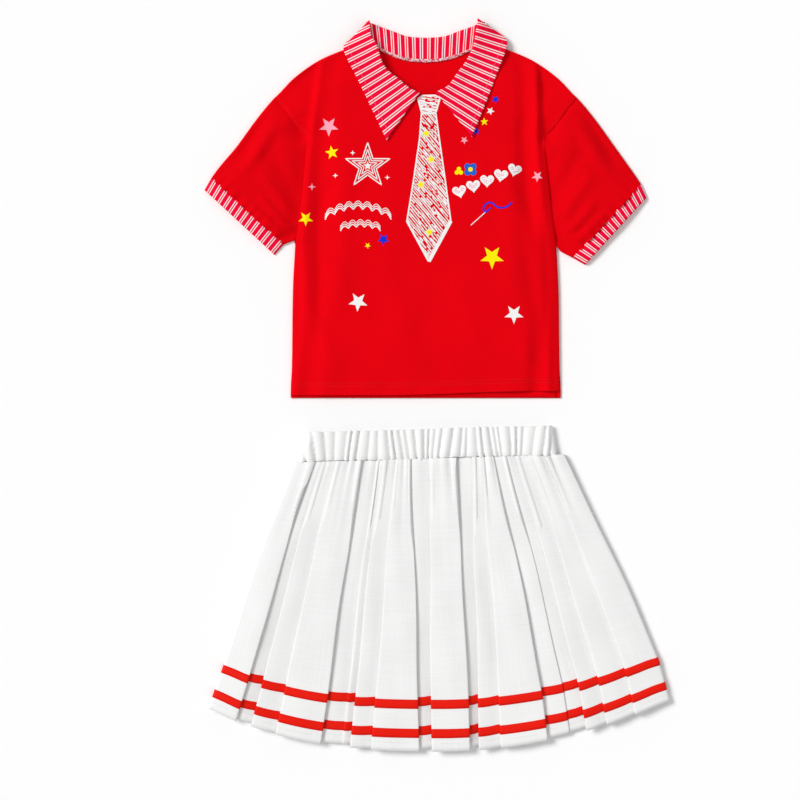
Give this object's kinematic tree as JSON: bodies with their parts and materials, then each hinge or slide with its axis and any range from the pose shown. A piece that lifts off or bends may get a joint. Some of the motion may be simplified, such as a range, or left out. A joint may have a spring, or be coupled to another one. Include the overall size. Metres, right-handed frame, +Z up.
{
  "type": "cheer uniform",
  "caption": "Two-piece cheer uniform laid flat: short-sleeved jersey top with a striped pointed collar, and a pleated skirt with an elastic waist and ribbon stripes.",
  "frame": {"origin": "under the middle of the whole set, on the surface that both garments lie on", "axes": "+Z up off the surface, +Y from the skirt's hem towards the collar, +X to the right as one looks down on the fronts"},
  "size_m": [0.6088, 0.958, 0.0179],
  "materials": {
    "jersey": "smooth knitted jersey, matt",
    "striped_cloth": "woven cloth, crimson with white double stripes, matt",
    "tape": "overlocked cotton tape, matt",
    "pleated_cloth": "white woven cloth, permanently pleated, matt",
    "ribbon": "satin ribbon",
    "elastic": "braided elastic tape, matt",
    "white_print": "soft printed film",
    "yellow_print": "soft printed film",
    "pink_print": "soft printed film",
    "blue_print": "soft printed film"
  },
  "bodies": {
    "top": {"collar_back_fall": "striped_cloth", "collar_back_stand": "striped_cloth", "collar_side_left": "striped_cloth", "collar_side_right": "striped_cloth", "flower_print_blue": "blue_print", "flower_print_yellow": "yellow_print", "heart_print_1": "white_print", "heart_print_2": "white_print", "heart_print_3": "white_print", "heart_print_4": "white_print", "heart_print_5": "white_print", "neck_tape": "tape", "outlined_star_print": "white_print", "shirt_back": "jersey", "shirt_back_hem": "jersey", "shirt_front": "jersey", "shirt_front_hem": "jersey", "sparkle_print_left": "white_print", "sparkle_print_pink": "pink_print", "sparkle_print_right": "white_print", "sparkle_print_upper": "white_print", "star_print_blue_left": "blue_print", "star_print_blue_lower": "blue_print", "star_print_blue_upper": "blue_print", "star_print_pink_shoulder": "pink_print", "star_print_pink_side": "pink_print", "star_print_pink_tip": "pink_print", "star_print_white_left": "white_print", "star_print_white_right": "white_print", "star_print_white_upper": "white_print", "star_print_yellow_large": "yellow_print", "star_print_yellow_shoulder": "yellow_print", "star_print_yellow_side": "yellow_print", "star_print_yellow_tiny": "yellow_print", "star_print_yellow_upper": "yellow_print", "tie_blade_print": "white_print", "tie_knot_print": "white_print", "tie_star_print_1": "yellow_print", "tie_star_print_2": "yellow_print", "tie_star_print_3": "yellow_print", "tie_star_print_4": "yellow_print"},
    "sleeve_left": {"sleeve_left": "jersey", "cuff_left": "striped_cloth"},
    "sleeve_right": {"sleeve_right": "jersey", "cuff_right": "striped_cloth"},
    "leaf_left": {"collar_leaf_left_upper": "striped_cloth", "collar_leaf_left_under": "striped_cloth"},
    "leaf_right": {"collar_leaf_right_upper": "striped_cloth", "collar_leaf_right_under": "striped_cloth"},
    "skirt": {"ribbon_lower_back": "ribbon", "ribbon_lower_front": "ribbon", "ribbon_upper_back": "ribbon", "ribbon_upper_front": "ribbon", "skirt_back": "pleated_cloth", "skirt_front": "pleated_cloth", "waistband_elastic": "elastic", "waistband_facing": "pleated_cloth", "waistband_outer": "pleated_cloth"}
  },
  "joints": [
    {"name": "sleeve_left_fold", "type": "hinge", "parent": "top", "child": "sleeve_left", "pos_m": [-0.185, 0.184, 0.015], "axis": [-0.1378, 0.9905, 0], "range_deg": [0, 150]},
    {"name": "sleeve_right_fold", "type": "hinge", "parent": "top", "child": "sleeve_right", "pos_m": [0.155, 0.184, 0.015], "axis": [-0.1378, -0.9905, 0], "range_deg": [0, 150]},
    {"name": "leaf_left_turn", "type": "hinge", "parent": "top", "child": "leaf_left", "pos_m": [-0.0265, 0.382, 0.016], "axis": [-0.5537, 0.8327, 0], "range_deg": [0, 70]},
    {"name": "leaf_right_turn", "type": "hinge", "parent": "top", "child": "leaf_right", "pos_m": [-0.0035, 0.382, 0.016], "axis": [-0.5537, -0.8327, 0], "range_deg": [0, 70]},
    {"name": "skirt_lift", "type": "slide", "parent": "top", "child": "skirt", "axis": [0, 0, 1], "range_m": [0, 0.25]}
  ]
}
